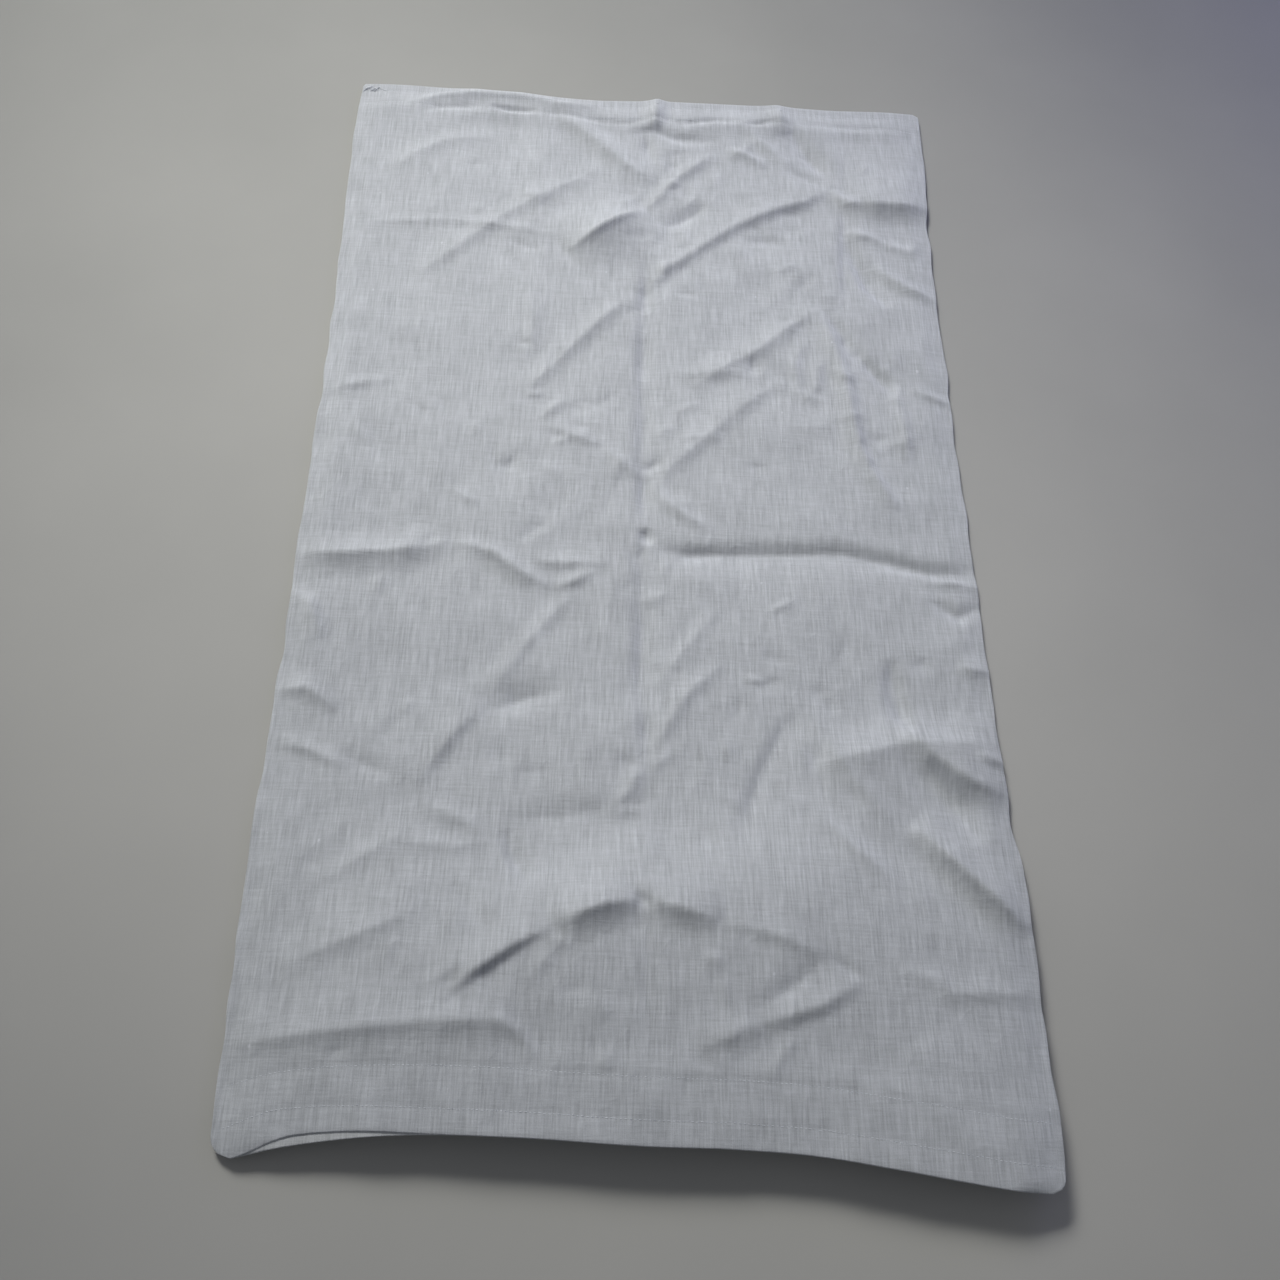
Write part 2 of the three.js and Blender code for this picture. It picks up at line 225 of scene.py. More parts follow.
# A crease: its points on the table, its height in mm (below zero for a valley), and how far its
# flanks reach to the left and to the right of someone who walks along it.
CREASES = [
    # the crest of the wave and what hangs below it
    ([(-113, -316), (-95, -300), (-75, -286), (-52, -273)], 2.4, 22, 5),
    ([(-52, -273), (-25, -262), (-3, -257)], 4.0, 26, 18),
    ([(-3, -257), (14, -261), (42, -269)], 2.8, 26, 14),
    ([(-12, -250), (-2, -258), (6, -262)], -1.4, 5, 6),
    ([(-84, -214), (-78, -232), (-68, -250)], -1.8, 16, 5),
    ([(-225, -340), (-180, -333), (-120, -327), (-70, -325)], 2.6, 28, 22),
    ([(-84, -323), (-69, -331), (-58, -345)], 1.2, 6, 9),
    ([(-205, -298), (-172, -284), (-126, -263)], 1.3, 24, 13),
    ([(-112, -248), (-86, -280)], -0.9, 10, 14),
    ([(30, -342), (46, -332), (60, -322)], 2.0, 22, 16),
    ([(60, -318), (80, -306), (103, -287)], -1.0, 14, 7),
    ([(56, -327), (74, -322), (98, -314), (122, -299)], 1.8, 15, 8),
    ([(103, -287), (113, -293), (121, -300)], -0.9, 6, 5),
    ([(84, -330), (74, -341), (66, -354)], 0.8, 7, 6),
    ([(44, -268), (75, -277), (103, -287)], 1.0, 12, 7),
    ([(140, -293), (164, -298), (172, -305), (224, -304)], 1.0, 12, 10),
    ([(160, -205), (176, -222), (192, -238), (224, -268)], 4.6, 28, 14),
    ([(-190, -250), (-160, -230), (-138, -213)], 0.8, 12, 10),
    ([(-134, -198), (-115, -206), (-93, -217)], 1.2, 12, 10),
    ([(-150, -222), (-112, -226), (-86, -219)], 0.9, 12, 10),
    ([(98, -131), (86, -142), (70, -175), (54, -218)], -1.4, 22, 9),
    ([(100, -130), (112, -150), (125, -175), (150, -205)], 1.0, 12, 12),
    ([(102, -198), (120, -218), (150, -245)], 1.6, 12, 14),
    # right of the centre, below the middle fold
    ([(105, -168), (160, -152), (224, -150)], 4.0, 26, 80),
    ([(158, -136), (176, -160), (198, -176), (222, -181)], 3.6, 24, 17),
    ([(157, -92), (159, -120), (165, -146)], -3.0, 8, 12),
    ([(165, -146), (180, -176), (202, -214)], -3.2, 22, 26),
    ([(205, -158), (226, -163)], 1.4, 10, 6),
    ([(200, -97), (222, -99)], 1.5, 14, 9),
    ([(180, -34), (205, -35), (222, -37)], 1.2, 6, 6),
    ([(185, -47), (205, -60), (222, -50)], -1.6, 9, 9),
    ([(78, -62), (98, -52)], 0.8, 5, 5),
    ([(60, -109), (76, -112)], 0.9, 4, 4),
    ([(3, -120), (28, -85), (48, -58)], 0.8, 9, 9),
    ([(3, -172), (10, -150), (24, -124), (50, -98)], 1.2, 12, 9),
    # left of the centre, below the middle fold
    ([(-138, -188), (-128, -170), (-117, -153), (-100, -131)], 1.5, 22, 8),
    ([(-104, -137), (-90, -134), (-70, -126), (-48, -121)], -2.0, 24, 16),
    ([(-98, -128), (-80, -95), (-62, -70), (-45, -50)], 0.9, 12, 9),
    ([(-230, -58), (-216, -66), (-204, -92)], 2.2, 9, 14),
    ([(-230, -128), (-210, -126), (-190, -140)], 1.8, 14, 9),
    ([(-226, -161), (-205, -166), (-178, -178)], 1.1, 9, 6),
    ([(-185, -168), (-150, -184)], -0.9, 10, 9),
    ([(-86, -208), (-55, -205), (-25, -201), (6, -198)], -1.0, 18, 16),
    ([(-28, -202), (6, -198)], 0.7, 4, 8),
    ([(-24, -204), (-10, -187), (-1, -166)], 1.2, 8, 12),
    # the fold across the middle: a ridge on the left, a valley on the right
    ([(-230, -31), (-200, -31), (-165, -27), (-130, -18)], 2.8, 20, 18),
    ([(-130, -18), (-115, -20), (-100, -26), (-82, -40), (-62, -49)], 2.2, 12, 12),
    ([(-62, -49), (-48, -44), (-34, -36)], 1.4, 9, 8),
    ([(-80, -31), (-50, -31), (-24, -29)], 1.0, 12, 8),
    ([(2, -17), (35, -20), (80, -17), (130, -15), (160, -20), (190, -27), (222, -25)], -2.2, 12, 26),
    ([(18, -24), (32, -20), (48, -17)], -1.0, 8, 8),
    ([(148, -17), (170, -23), (192, -27)], -0.9, 8, 8),
    # the lengthwise fold down the centre
    ([(-3, 238), (-5, 150), (-5, 60), (-3, 2)], -1.3, 30, 9),
    ([(-2, 215), (-4, 185)], -1.2, 10, 8),
    ([(-4, 160), (-5, 122)], -1.0, 10, 7),
    ([(-3, 100), (-4, 60)], -0.7, 10, 7),
    ([(-2, 42), (-3, 8)], -1.3, 9, 8),
    ([(-3, -2), (2, -14)], -1.8, 6, 7),
    ([(-3, -2), (-5, -60), (-5, -115), (0, -150), (0, -200)], -1.2, 26, 10),
    ([(-3, -55), (-3, -120)], -1.2, 14, 8),
    ([(-2, -136), (1, -156)], -0.9, 9, 7),
    ([(0, -262), (0, -335)], -0.7, 16, 9),
    # the star just above the middle, left
    ([(0, 35), (12, 20), (26, 8), (44, -2)], 1.3, 8, 8),
    ([(-74, 79), (-52, 70), (-32, 62)], 1.2, 14, 6),
    ([(-32, 62), (-18, 50), (0, 35)], 0.9, 9, 9),
    ([(-75, 82), (-68, 92), (-58, 102)], 1.1, 7, 8),
    ([(-88, 104), (-66, 135), (-38, 170), (-14, 197)], 1.4, 16, 11),
    ([(-88, 104), (-72, 105)], 0.8, 5, 5),
    ([(8, 40), (38, 72), (68, 103), (94, 126)], 1.2, 18, 10),
    ([(30, 116), (58, 138), (80, 153), (100, 172), (124, 194)], 1.6, 20, 12),
    ([(5, 130), (30, 128), (90, 131)], 0.5, 10, 8),
    ([(-92, 128), (-84, 165), (-90, 205)], 0.9, 10, 14),
    ([(-226, 100), (-205, 107), (-178, 113)], 0.8, 8, 8),
    # the rays below the upper right apex
    ([(126, 194), (133, 165), (139, 140), (144, 100), (146, 72)], 1.9, 10, 14),
    ([(126, 194), (140, 172), (152, 153)], -1.2, 9, 11),
    ([(150, 156), (166, 134), (177, 117)], -2.0, 6, 10),
    ([(144, 100), (148, 70), (157, 46), (172, 20)], 2.2, 7, 14),
    ([(178, 117), (181, 90), (181, 58)], 1.2, 7, 10),
    ([(188, 123), (205, 116), (220, 110)], 1.0, 7, 5),
    ([(112, 165), (105, 140), (108, 112)], 0.9, 7, 9),
    ([(124, 150), (120, 122), (108, 106)], 0.9, 8, 8),
    # the star near the far right and its rays
    ([(138, 313), (120, 299), (95, 288), (65, 270), (40, 249), (12, 223), (-6, 200)], 1.8, 9, 24),
    ([(138, 314), (122, 325), (104, 334)], -1.2, 14, 9),
    ([(140, 318), (135, 335), (120, 358), (105, 386)], -2.0, 22, 14),
    ([(118, 352), (127, 345), (133, 332)], -1.2, 5, 6),
    ([(72, 380), (85, 362), (100, 346), (112, 336)], 1.2, 10, 10),
    ([(150, 300), (175, 297), (200, 297), (222, 299)], 4.0, 85, 20),
    ([(141, 313), (152, 299), (162, 297)], 1.8, 10, 10),
    ([(151, 296), (149, 268), (147, 240), (146, 200)], -1.4, 16, 8),
    ([(151, 262), (156, 240), (164, 216), (178, 198)], -2.8, 20, 8),
    ([(168, 238), (192, 217), (220, 204)], 1.8, 12, 10),
    ([(170, 262), (190, 255), (206, 250)], 1.0, 9, 7),
    ([(150, 270), (165, 266), (178, 262)], 1.2, 8, 6),
    # the crumpled patch around the centre fold, far end
    ([(-75, 380), (-45, 353), (-20, 328), (3, 312)], 2.2, 18, 16),
    ([(-62, 236), (-30, 262), (-4, 282)], 5.6, 45, 46),
    ([(-62, 236), (-30, 262), (-4, 282)], 0.9, 5, 6),
    ([(-4, 282), (8, 298), (20, 316), (50, 346)], 1.5, 9, 9),
    ([(10, 266), (28, 277), (44, 292)], -2.2, 14, 12),
    ([(60, 350), (75, 345), (92, 334)], 1.5, 7, 9),
    ([(-15, 362), (3, 368), (18, 360), (54, 359)], -1.4, 8, 10),
    ([(2, 332), (-2, 345), (-4, 362)], -1.4, 8, 9),
    ([(-172, 207), (-140, 240), (-105, 275), (-60, 308), (-38, 326)], 0.9, 16, 11),
    ([(-196, 312), (-182, 330), (-160, 345), (-120, 352)], 1.0, 14, 16),
    ([(-215, 258), (-150, 262), (-95, 257), (-70, 250)], 0.6, 8, 8),
    ([(70, 258), (105, 256)], -0.9, 8, 9),
    ([(7, 220), (14, 232)], 1.0, 6, 6),
    # the far hem's ripples
    ([(-192, 383), (-170, 392), (-140, 398), (-105, 397), (-70, 389), (-40, 391)], 2.2, 12, 12),
    ([(-130, 385), (-110, 382), (-92, 381)], -2.4, 4, 5),
    ([(6, 410), (4, 386), (2, 366)], 3.0, 12, 16),
    ([(101, 410), (104, 388), (110, 372)], 2.0, 16, 22),
    ([(-185, 377), (-140, 384), (-132, 385)], -0.8, 4, 6),
    ([(-90, 381), (-50, 375), (-20, 373), (8, 381)], -0.8, 4, 6),
    ([(10, 381), (25, 376), (50, 381), (70, 381)], -1.2, 4, 6),
    ([(74, 378), (104, 384)], -1.2, 4, 6),
    ([(112, 384), (150, 383), (205, 384)], -0.6, 4, 6),
]
CREASE_DEPTH = 1.8      # every crease stands this many times as high as listed
TAPER = 28              # a crease fades in and out over this length
TAPER_SHARE = 0.4       # but over no more than this share of itself
CREASE_TIP = 0.35       # how blunt its edge is
FLANK_CURVE = 1.8       # how hollow its flanks are
TAPER_CURVE = 0.7       # how full its ends are

# Patches of short creases: the middle and the spread of each, and how many it is given
SMALL_PATCHES = [
    ((20, 300), (60, 45), 34),
    ((150, 180), (35, 80), 26),
    ((-10, 60), (90, 60), 30),
    ((40, -120), (110, 60), 30),
    ((20, -300), (110, 40), 26),
    ((0, 0), (140, 240), 50),
]
SMALL_HEADINGS = [0.25, 0.85, 1.35, 2.1, 2.75]
HEADING_SPREAD = 0.25   # of the heading round one of those, in radians
SMALL_HALF = (6, 15)    # half the length of a short crease
SMALL_BEND = 0.12       # how far its middle is bent, as a share of that
SMALL_HEIGHT = (0.3, 0.75)
SMALL_REACH = (4, 12)   # of each flank
SIDE_MARGIN = 20        # short creases keep this far from the side edges
END_MARGIN = 30         # and this far from the ends


def crease_height(x, y, points, height, left, right):
    """The height that one crease adds: highest on its line and smooth at the foot of its flanks."""
    points = np.array(points, float)
    steps = np.diff(points, axis=0)
    lengths = np.hypot(*steps.T)
    starts = np.concatenate([[0], np.cumsum(lengths)])
    total = starts[-1]
    nearest = np.full(x.shape, np.inf)
    side = np.zeros(x.shape)
    along = np.zeros(x.shape)
    for (px, py), (dx, dy), length, start in zip(points, steps, lengths, starts):
        t = np.clip(((x - px) * dx + (y - py) * dy) / length**2, 0, 1)
        away = np.hypot(x - px - t * dx, y - py - t * dy)
        closer = away < nearest
        nearest = np.where(closer, away, nearest)
        side = np.where(closer, dx * (y - py) - dy * (x - px), side)
        along = np.where(closer, start + t * length, along)
    reach = np.where(side > 0, left, right)
    away = np.hypot(nearest, CREASE_TIP) - CREASE_TIP
    across = np.clip(1 - away / reach, 0, 1) ** FLANK_CURVE
    fade = min(TAPER, TAPER_SHARE * total)
    ends = np.clip(np.minimum(along, total - along) / fade, 0, 1) ** TAPER_CURVE
    return height * across * ends


def small_creases():
    """Short creases between the ones above, strewn at random over their patches."""
    made = []
    for middle, spread, count in SMALL_PATCHES:
        for x, y in rng.normal(middle, spread, (count, 2)):
            heading = rng.choice(SMALL_HEADINGS) + rng.normal(0, HEADING_SPREAD)
            step = rng.uniform(*SMALL_HALF) * np.array([math.cos(heading), math.sin(heading)])
            bend = rng.normal(0, SMALL_BEND) * np.array([-step[1], step[0]])
            height = rng.choice([-1, 1]) * rng.uniform(*SMALL_HEIGHT)
            points = np.array([(x, y) - step, (x, y) + bend, (x, y) + step])
            furthest_x, furthest_y = np.abs(points).max(axis=0)
            if furthest_x < WIDTH / 2 - SIDE_MARGIN and furthest_y < LENGTH / 2 - END_MARGIN:
                made.append((points, height, rng.uniform(*SMALL_REACH), rng.uniform(*SMALL_REACH)))
    return made


def creases(x, y):
    """The height that all the creases add together."""
    total = np.zeros(x.shape)
    for points, height, left, right in CREASES + small_creases():
        low = np.min(points, axis=0) - max(left, right)
        high = np.max(points, axis=0) + max(left, right)
        near = (x > low[0]) & (x < high[0]) & (y > low[1]) & (y < high[1])
        total[near] += crease_height(x[near], y[near], points, height, left, right)
    return CREASE_DEPTH * total


RIDGE_SLOPE = 2.2       # how steeply the crumple's facets rise to their ridges
RIDGE_BLUNTNESS = 0.002     # how rounded those ridges are
PUCKER_HEIGHT = 0.55    # of the ripples along the side seams
PUCKER_SIZE = 15
PUCKER_REACH = 22       # how far in from the side edges


def ridged(x, y, size, seed):
    """Noise folded over at zero: small facets that meet in sharp lines."""
    return 1 - RIDGE_SLOPE * np.sqrt(noise(x, y, size, seed) ** 2 + RIDGE_BLUNTNESS)


def crumple(x, y):
    """The broad waves, small facets and fine wrinkles that washing leaves in linen."""
    # each term is its height times noise of a size and a seed
    broad = 0.9 * noise(x, y, 75, 11) + 0.5 * noise(x, y, 38, 12)
    # the small facets are turned, so that they don't line up with the large ones
    turned_x, turned_y = 0.8 * x - 0.6 * y, 0.6 * x + 0.8 * y
    facets = 0.62 * ridged(x, y, 58, 15) + 0.34 * ridged(turned_x, turned_y, 31, 16)
    fine = 0.15 * noise(x, y, 16, 13) + 0.07 * noise(x, y, 8, 14, stretch=1.6)
    return broad + facets + fine


def pucker(x, y, side):
    """Small ripples where the side seams draw the cloth in."""
    return PUCKER_HEIGHT * noise(x, y, PUCKER_SIZE, 17) * smooth(1 - side / PUCKER_REACH)


def layer_gap(across, along):
    """How far the face lies over the lining: more where cloth is turned in between them."""
    side = np.minimum(across, WIDTH - across)
    turned = smooth((ALLOWANCE + SETTLE - side) / SETTLE)
    turned = np.maximum(turned, smooth((NEAR_HEM + SETTLE - along) / SETTLE))
    turned = np.maximum(turned, smooth((FAR_HEM + SETTLE - (LENGTH - along)) / SETTLE))
    return LAYER_GAP + (HEM_GAP - LAYER_GAP) * turned


def grooves(along):
    """How far the rows of stitching pull the face down."""
    return GROOVE_DEPTH * sum(np.exp(-((along - row) / GROOVE_WIDTH) ** 2) for row in ROWS.values())


class Field:
    """The cloth's surfaces on the lattice, and their values anywhere between its lines."""

    def __init__(self):
        self.across = np.linspace(0, WIDTH, round(WIDTH / LATTICE) + 1)
        self.along = np.linspace(0, LENGTH, round(LENGTH / LATTICE) + 1)
        across, along = np.meshgrid(self.across, self.along)
        self.x, self.y = outline(across, along)
        gap = layer_gap(across, along)
        side = np.minimum(across, WIDTH - across)
        inside = smooth(side / EDGE_REACH) * smooth((LENGTH - along) / EDGE_REACH)
        share = EDGE_SHARE + (1 - EDGE_SHARE) * inside
        lift = REST_HEIGHT * share + wave(self.x, self.y) + creases(self.x, self.y)
        lift += crumple(self.x, self.y) * share + pucker(self.x, self.y, side)
        lift = LOWEST + np.log1p(np.exp((lift - LOWEST) * LANDING)) / LANDING
        self.face = TABLE + lift + gap - grooves(along)
        turned = (gap - LAYER_GAP) / (HEM_GAP - LAYER_GAP)
        self.lining = TABLE + lift * turned + lowest_near(lift, 1) * (1 - turned)

    def at(self, name, across, along):
        """Bilinear values of a surface at across and along distances."""
        grid = getattr(self, name)
        # just short of the last line, so that there always is a next one
        u = np.clip(across / self.across[1], 0, len(self.across) - 1.001)
        v = np.clip(along / self.along[1], 0, len(self.along) - 1.001)
        i, j = np.floor(u).astype(int), np.floor(v).astype(int)
        a, b = u - i, v - j
        low = grid[j, i] * (1 - a) + grid[j, i + 1] * a
        high = grid[j + 1, i] * (1 - a) + grid[j + 1, i + 1] * a
        return low * (1 - b) + high * b


def lowest_near(grid, reach):
    """The lowest value within a few lattice steps, so that what lies below never pokes through."""
    low = grid.copy()
    for axis in (0, 1):
        padded = np.pad(low, [(reach, reach) if a == axis else (0, 0) for a in (0, 1)], "edge")
        size = low.shape[axis]
        shifts = [np.take(padded, range(k, k + size), axis) for k in range(2 * reach + 1)]
        low = np.min(shifts, axis=0)
    return low


FIELD = Field()


# ---------------------------------------------------------------- meshes


TURNED_LINES = 4        # lattice lines on cloth that is turned in
ROLL_ANGLES = (180, 135, 90, 45)    # of the lines round a turned edge, from below to above


def mesh_object(name, points, faces):
    """A smooth-shaded piece in the scene, from points in millimetres."""
    mesh = bpy.data.meshes.new(name)
    mesh.from_pydata((np.asarray(points) * MM).tolist(), [], [list(map(int, f)) for f in faces])
    mesh.validate()
    mesh.shade_smooth()
    piece = bpy.data.objects.new(name, mesh)
    bpy.context.scene.collection.objects.link(piece)
    return piece


def turned_lines(length, spacing, first_turn, last_turn):
    """Lattice lines of a strip whose two ends are rolled over and turned in.

    Gives each line's distance along the strip, how far it has dropped below the surface (in fold
    diameters), and whether it belongs to a turned-in part."""
    roll = []
    for degrees in ROLL_ANGLES:
        angle = math.radians(degrees)
        is_turned = 1 if degrees == ROLL_ANGLES[0] else 0
        roll.append((FOLD_RADIUS * (1 - math.sin(angle)), (1 - math.cos(angle)) / 2, is_turned))
    count = round((length - 2 * FOLD_RADIUS) / spacing)
    top = [(d, 0.0, 0) for d in np.linspace(FOLD_RADIUS, length - FOLD_RADIUS, count + 1)]

    def under(depth):
        return [(d, 1.0, 1) for d in np.linspace(depth, FOLD_RADIUS, TURNED_LINES + 1)[:-1]]

    start = under(first_turn) + roll
    end = [(length - d, drop, in_turn) for d, drop, in_turn in under(last_turn) + roll]
    return np.array(start + top + end[::-1]).T


LIP = 5                 # how far the lining stands out under the face at the near left
LIP_START = 34          # where the lip is at its widest, from the left edge
LIP_END = 125           # where it has gone
LIP_FADE = 95           # over which it goes
LIP_ALONG = 60          # how far from the near end the face is pulled back


def pull_back(across, along):
    """How far the face sits back from the lining, over the left part of the near end."""
    back = LIP * smooth(across / LIP_START) * smooth((LIP_END - across) / LIP_FADE)
    return back * smooth(1 - along / LIP_ALONG)


def place_on(surface, across, along):
    """The x, y and z of places on the face or the lining."""
    x, y, z = [FIELD.at(axis, across, along) for axis in ("x", "y", surface)]
    if surface == "face":
        y = y + pull_back(across, along)
    return x, y, z


def sheet_mesh(name, surface, spacing, downwards):
    """One layer of cloth with its sides and ends turned in, below it or above, as one surface."""
    across, drop_across, in_across = turned_lines(WIDTH, spacing, ALLOWANCE, ALLOWANCE)
    along, drop_along, in_along = turned_lines(LENGTH, spacing, NEAR_HEM, FAR_HEM)
    u, v = np.meshgrid(across, along)
    x, y, z = place_on(surface, u, v)
    drop = np.maximum(drop_across[None, :], drop_along[:, None]) * 2 * FOLD_RADIUS
    z = z - drop if downwards else z + drop
    points = np.stack([x, y, z], axis=-1).reshape(-1, 3)
    rows, columns = z.shape
    j, i = np.meshgrid(np.arange(rows - 1), np.arange(columns - 1), indexing="ij")
    both_turned = (in_across[i] + in_across[i + 1] > 0) & (in_along[j] + in_along[j + 1] > 0)
    i, j = i[~both_turned], j[~both_turned]
    corner = j * columns + i
    faces = np.stack([corner, corner + 1, corner + columns + 1, corner + columns], axis=1)
    if not downwards:
        faces = faces[:, ::-1]
    used, packed = np.unique(faces, return_inverse=True)
    return mesh_object(name, points[used], packed.reshape(faces.shape))


def build_face():
    face = sheet_mesh("face_sheet", "face", LATTICE, True)
    face.data.materials.append(linen("face_linen", FACE_COLOUR))
    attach(face, "root")
    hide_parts("face_panel", "face_near_hem", "face_far_hem",
                "face_left_allowance", "face_right_allowance")
    return face


def build_lining():
    lining = sheet_mesh("lining_sheet", "lining", 2 * LATTICE, False)
    lining.data.materials.append(linen("lining_linen", LINING_COLOUR))
    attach(lining, "root")
    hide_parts("lining_panel", "lining_near_hem", "lining_far_hem",
                "lining_left_allowance", "lining_right_allowance")
    return lining


# ---------------------------------------------------------------- stitches

STITCH = 2.5            # stitch length, hole to hole
STITCH_SHARE = 0.8      # of it that shows as thread
STITCH_POINTS = 5       # along each stitch
HOLE_SPREAD = 0.1       # unevenness of the holes along a row
ROW_SPREAD = 0.12       # and across it
ROW_INSET = 5           # a row stops this far from the side edges
THREAD_RADIUS = 0.15
THINNING = 0.8          # how much the thread thins where it dives in
SIDES = 6               # of the thread's round section
STITCH_PROUD = 0.05     # how far a stitch's middle stands off the cloth
STITCH_DIVE = 0.25      # how much lower its ends are
SEAM_AT = 0.3           # how far the side seams lie in from their edges
SEAM_INSET = 4          # how far they stop short of the turned-in ends

DARN_STITCHES = 9
DARN_AT = (3, 2.5)      # where the darn begins, from the left edge and the far end
DARN_SPACING = 1.5      # from one stitch to the next
DARN_REACH = 4.5        # of a stitch, both ways
DARN_SPREAD = (0.5, 0.6)    # unevenness of that reach, across and along
DARN_STARTS = 3         # the stitches start from this many lines by turns, 1 mm apart
DARN_HEIGHT = (0.15, 0.3)   # of the lower stitches, and how much higher those that cross them lie
DARN_THICKNESS = 1.7    # of the darning thread, against the sewing thread
DARN_MARGIN = 1.2       # it keeps this far from the left edge


def stitches(name, lines, out, node, thickness=1.0):
    """Stitches as small rods along the given lines of points; out points off the cloth."""
    angles = np.linspace(0, 2 * math.pi, SIDES, endpoint=False)
    points, faces = [], []
    for line in lines:
        along = line[-1] - line[0]
        along /= np.linalg.norm(along)
        beside = np.cross(along, out)
        profile = np.linspace(-1, 1, len(line))
        first = len(points)
        for centre, p in zip(line, profile):
            radius = thickness * THREAD_RADIUS * math.sqrt(1 - THINNING * p**6)
            for a in angles:
                points.append(centre + radius * (math.cos(a) * beside + math.sin(a) * out))
        for k in range(len(line) - 1):
            for a in range(SIDES):
                here = first + k * SIDES + a
                next_one = first + k * SIDES + (a + 1) % SIDES
                faces.append((here, here + SIDES, next_one + SIDES, next_one))
        faces.append(range(first, first + SIDES))
        last = first + (len(line) - 1) * SIDES
        faces.append(range(last + SIDES - 1, last - 1, -1))
    piece = mesh_object(name, points, faces)
    piece.data.materials.append(THREAD_MATERIAL)
    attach(piece, "root")
    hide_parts(node)
    return piece


def stitch_places(length, first, last):
    """The places along each stitch of a seam, hole to hole with a little unevenness."""
    count = round((length - first - last) / STITCH)
    holes = np.linspace(first, length - last, count + 1)
    holes[1:-1] += rng.normal(0, HOLE_SPREAD, count - 1)
    margin = (1 - STITCH_SHARE) / 2 * STITCH
    return np.linspace(holes[:-1] + margin, holes[1:] - margin, STITCH_POINTS, axis=1)


STITCH_BOW = STITCH_PROUD - STITCH_DIVE * np.linspace(-1, 1, STITCH_POINTS) ** 4


def stitch_row(name, surface, along, node):
    """A row across the runner, on the face or under the lining."""
    out = np.array([0, 0, 1.0 if surface == "face" else -1.0])
    across = stitch_places(WIDTH, ROW_INSET, ROW_INSET)
    along = along + rng.normal(0, ROW_SPREAD, (len(across), 1)) + 0 * across
    lines = np.stack(place_on(surface, across, along), axis=2)
    lines += out * STITCH_BOW[None, :, None]
    return stitches(name, lines, out, node)


def seam(name, across, out, node):
    """The side seam, in the groove between the turned edges of the face and the lining."""
    along = stitch_places(LENGTH, NEAR_HEM + SEAM_INSET, FAR_HEM + SEAM_INSET)
    across = across + 0 * along
    x, y, low, high = [FIELD.at(axis, across, along) for axis in ("x", "y", "lining", "face")]
    return stitches(name, np.stack([x, y, (low + high) / 2], axis=2), np.array([out, 0, 0.0]), node)


def corner_darn():
    """A few crossing darning stitches over the worn far left corner."""
    out = np.array([0, 0, 1.0])
    from_left, from_far = DARN_AT
    low, crossing = DARN_HEIGHT
    k = np.arange(DARN_STITCHES)[:, None]
    share = np.linspace(0, 1, STITCH_POINTS)
    reach_across = DARN_REACH * (-1.0) ** k + rng.normal(0, DARN_SPREAD[0], k.shape)
    reach_along = DARN_REACH + rng.normal(0, DARN_SPREAD[1], k.shape)
    across = np.maximum(from_left + DARN_SPACING * k + reach_across * share, DARN_MARGIN)
    along = LENGTH - from_far - k % DARN_STARTS - reach_along * share
    lines = np.stack(place_on("face", across, along), axis=2)
    lines += out * (STITCH_BOW + low + crossing * (k % 2))[..., None]
    return stitches("corner_darn", lines, out, "corner_darn_thread", DARN_THICKNESS)


# ---------------------------------------------------------------- materials

FACE_COLOUR = (0.425, 0.438, 0.468)
LINING_COLOUR = (0.50, 0.51, 0.53)
WEAVE_CONTRAST = 0.15   # how much the yarns differ in tone
MOTTLE = 0.045          # how much larger patches do
NUB_TONE = 0.22         # how much lighter the nubs in the yarns are
WRINKLE_HEIGHT = 2.6    # of the finest wrinkles, against the weave's
WRINKLE_WIDTH = 0.10
WEAVE_DEPTH = 0.00015   # of the weave's relief, in metres
WEAVE_RELIEF = 0.35     # how strongly that relief shades
# The yarns: features per metre across and along, detail, the noise's range, and how strong
YARNS = [
    ((1050, 52, 1), 3, (0.3, 0.7), 1.0),        # lengthwise yarns
    ((330, 20, 1), 2, (0.35, 0.65), 0.36),      # slubs in them
    ((70, 950, 1), 3, (0.3, 0.7), 0.45),        # crosswise yarns
    ((16, 380, 1), 2, (0.35, 0.65), 0.16),      # slubs in them
    ((1700, 1700, 1), 2, (0.3, 0.7), 0.45),     # the crossings
]


